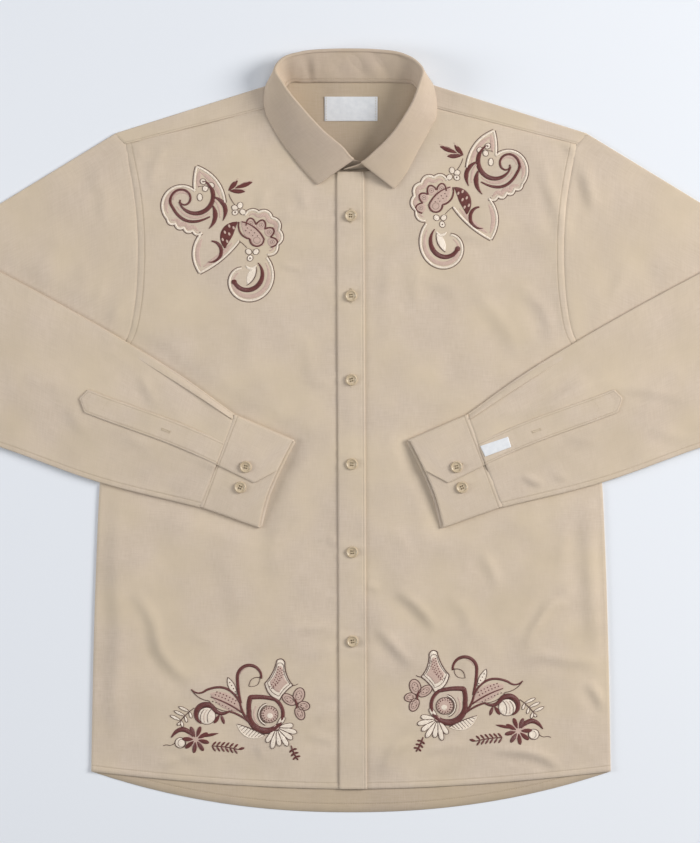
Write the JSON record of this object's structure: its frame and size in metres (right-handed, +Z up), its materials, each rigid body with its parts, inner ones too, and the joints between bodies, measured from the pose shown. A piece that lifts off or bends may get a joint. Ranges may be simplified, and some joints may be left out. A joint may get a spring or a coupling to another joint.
{
  "type": "embroidered long-sleeve shirt laid flat",
  "caption": "Long-sleeved button-front shirt laid flat on its back, sleeves folded over the fronts, with a turned-down collar, buttoned cuffs, a curved back tail and flower embroidery.",
  "frame": {"origin": "centre of the laid-out shirt's outline, on the surface it lies on", "axes": "+X across the shirt toward the wearer's left sleeve, +Y toward the collar, +Z up out of the surface, so the shirt's front faces +Z"},
  "size_m": [0.8918, 0.824, 0.0305],
  "materials": {
    "cloth": "matt cotton twill",
    "button": "satin",
    "label": "matt woven tape"
  },
  "bodies": {
    "root": {"back": "cloth", "button_cuff_left_1": "button", "button_cuff_left_2": "button", "button_cuff_right_1": "button", "button_cuff_right_2": "button", "button_front_1": "button", "button_front_2": "button", "button_front_3": "button", "button_front_4": "button", "button_front_5": "button", "button_front_6": "button", "collar": "cloth", "collar_stand": "cloth", "cuff_left": "cloth", "cuff_right": "cloth", "front_left": "cloth", "front_right": "cloth", "neck_label": "label", "placket": "cloth", "sleeve_label": "label", "sleeve_left": "cloth", "sleeve_placket_left": "cloth", "sleeve_placket_right": "cloth", "sleeve_right": "cloth", "yoke": "cloth"}
  },
  "joints": []
}
